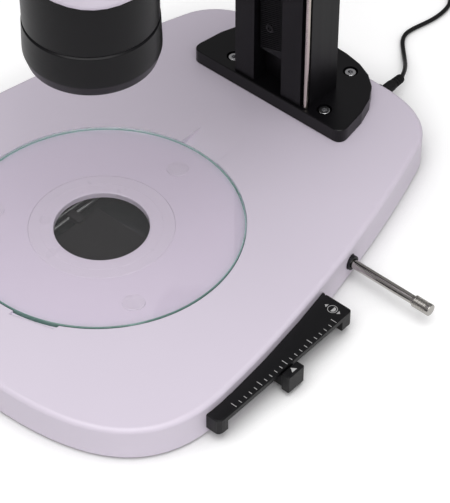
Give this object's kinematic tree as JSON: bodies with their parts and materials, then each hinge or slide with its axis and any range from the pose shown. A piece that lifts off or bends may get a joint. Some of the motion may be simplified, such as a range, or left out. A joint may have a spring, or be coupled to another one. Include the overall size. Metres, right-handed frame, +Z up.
{
  "type": "stereo microscope",
  "caption": "Stereo microscope on a track stand with a slim lit base, glass stage, oblique-contrast slider, zoom body and tilted trinocular head.",
  "frame": {"origin": "where the optical axis meets the top face of the stage glass plate", "axes": "+Z up along the optical axis; +Y from the stage towards the column; +X to the right of a user who faces the column"},
  "size_m": [0.354, 0.511, 0.467],
  "materials": {
    "base_paint": "satin",
    "stage_white": "satin",
    "stage_glass": "gloss",
    "lens_glass": "gloss",
    "black_paint": "satin",
    "black_anodised": "satin",
    "black_plastic": "matte",
    "dark_steel": "satin",
    "bright_steel": "polished",
    "chrome": "polished",
    "rubber": "matte",
    "smoked_cover": "gloss",
    "opal": "matte"
  },
  "bodies": {
    "stand": {"base_shell": "base_paint", "bottom_cover": "black_paint", "foot_1": "rubber", "foot_2": "rubber", "foot_3": "rubber", "foot_4": "rubber", "stage_ring": "stage_white", "stage_pad_1": "stage_white", "stage_pad_2": "stage_white", "stage_pad_3": "stage_white", "light_panel": "smoked_cover", "oic_scale_bar": "black_plastic", "oic_rail_1": "bright_steel", "oic_rail_2": "bright_steel", "rod_bush": "dark_steel", "dc_jack": "black_plastic", "dc_plug": "rubber", "power_cord": "rubber", "cord_coil": "rubber", "power_adapter": "black_plastic", "column_foot": "black_paint", "foot_screw_1": "bright_steel", "foot_screw_2": "bright_steel", "foot_screw_3": "bright_steel", "foot_screw_4": "bright_steel", "column": "black_anodised", "guide_rod_left": "bright_steel", "guide_rod_right": "bright_steel", "focus_rack": "dark_steel"},
    "stage_glass": {"glass_plate": "stage_glass"},
    "oic_slider": {"oic_mask": "black_paint", "oic_knob": "black_plastic"},
    "selector": {"selector_rod": "chrome", "diffuser_frame": "black_paint", "diffuser_glass": "opal"},
    "brightness": {"brightness_knob": "black_plastic"},
    "power": {"power_switch": "black_plastic"},
    "carriage": {"focus_housing": "black_anodised", "zoom_body": "base_paint", "objective_barrel": "black_anodised", "objective_ring": "black_anodised", "objective_lens": "lens_glass"},
    "coarse_drive": {"focus_pinion": "bright_steel", "coarse_knob_left": "black_anodised", "coarse_knob_right": "black_anodised"},
    "fine_drive": {"fine_knob_left": "black_anodised", "fine_knob_right": "black_anodised"},
    "zoom_drive": {"zoom_knob_left": "black_plastic", "zoom_knob_right": "black_plastic"},
    "zoom_lenses": {"zoom_carriage": "dark_steel"},
    "head": {"head_housing": "base_paint", "phototube": "black_anodised"},
    "tube_left": {"prism_housing_left": "black_anodised", "eyepiece_left": "black_anodised"},
    "tube_right": {"prism_housing_right": "black_anodised", "eyepiece_right": "black_anodised"},
    "diopter_left": {"diopter_ring_left": "rubber"},
    "diopter_right": {"diopter_ring_right": "rubber"},
    "path_selector": {"path_selector_rod": "bright_steel"},
    "head_lock": {"head_lock_screw": "bright_steel"}
  },
  "joints": [
    {"name": "glass_lift", "type": "slide", "parent": "stand", "child": "stage_glass", "axis": [0, 0, 1], "range_m": [0, 0.03]},
    {"name": "oic_slide", "type": "slide", "parent": "stand", "child": "oic_slider", "axis": [0, 1, 0], "range_m": [-0.045, 0.045]},
    {"name": "selector_slide", "type": "slide", "parent": "stand", "child": "selector", "axis": [1, 0, 0], "range_m": [-0.048, 0]},
    {"name": "brightness_turn", "type": "hinge", "parent": "stand", "child": "brightness", "pos_m": [-0.149, -0.03, -0.012], "axis": [-1, 0, 0], "range_deg": [0, 270]},
    {"name": "power_rocker", "type": "hinge", "parent": "stand", "child": "power", "pos_m": [-0.046, 0.219, -0.012], "axis": [1, 0, 0], "range_deg": [0, 12]},
    {"name": "focus_lift", "type": "slide", "parent": "stand", "child": "carriage", "axis": [0, 0, 1], "range_m": [-0.095, 0.025]},
    {"name": "coarse_spin", "type": "hinge", "parent": "carriage", "child": "coarse_drive", "pos_m": [0, 0.1503, 0.25], "axis": [1, 0, 0], "range_deg": [-180, 681]},
    {"name": "fine_spin", "type": "hinge", "parent": "carriage", "child": "fine_drive", "pos_m": [0, 0.1503, 0.25], "axis": [1, 0, 0], "continuous": true},
    {"name": "zoom_spin", "type": "hinge", "parent": "carriage", "child": "zoom_drive", "pos_m": [0, 0.008, 0.285], "axis": [1, 0, 0], "range_deg": [0, 270]},
    {"name": "zoom_shift", "type": "slide", "parent": "carriage", "child": "zoom_lenses", "axis": [0, 0, 1], "range_m": [0, 0.028]},
    {"name": "head_rotate", "type": "hinge", "parent": "carriage", "child": "head", "pos_m": [0, 0, 0.338], "axis": [0, 0, 1], "range_deg": [-90, 90]},
    {"name": "tube_right_swing", "type": "hinge", "parent": "head", "child": "tube_right", "pos_m": [0.024, -0.032, 0.372], "axis": [0, -0.7071, 0.7071], "range_deg": [-20, 24]},
    {"name": "tube_left_swing", "type": "hinge", "parent": "head", "child": "tube_left", "pos_m": [-0.024, -0.032, 0.372], "axis": [0, -0.7071, 0.7071], "range_deg": [-24, 20]},
    {"name": "diopter_right_turn", "type": "hinge", "parent": "tube_right", "child": "diopter_right", "pos_m": [0.032, -0.0434, 0.3606], "axis": [0, -0.7071, 0.7071], "range_deg": [-150, 150]},
    {"name": "diopter_left_turn", "type": "hinge", "parent": "tube_left", "child": "diopter_left", "pos_m": [-0.032, -0.0434, 0.3606], "axis": [0, -0.7071, 0.7071], "range_deg": [-150, 150]},
    {"name": "path_select", "type": "slide", "parent": "head", "child": "path_selector", "axis": [1, 0, 0], "range_m": [0, 0.012]},
    {"name": "head_clamp", "type": "hinge", "parent": "carriage", "child": "head_lock", "pos_m": [0, 0, 0.332], "axis": [1, 0, 0], "range_deg": [0, 360]}
  ],
  "couplings": [
    {"joint": "coarse_spin", "follows": "focus_lift", "rad_per_m": -125},
    {"joint": "zoom_shift", "follows": "zoom_spin", "m_per_rad": 0.0059},
    {"joint": "tube_left_swing", "follows": "tube_right_swing", "ratio": -1}
  ]
}
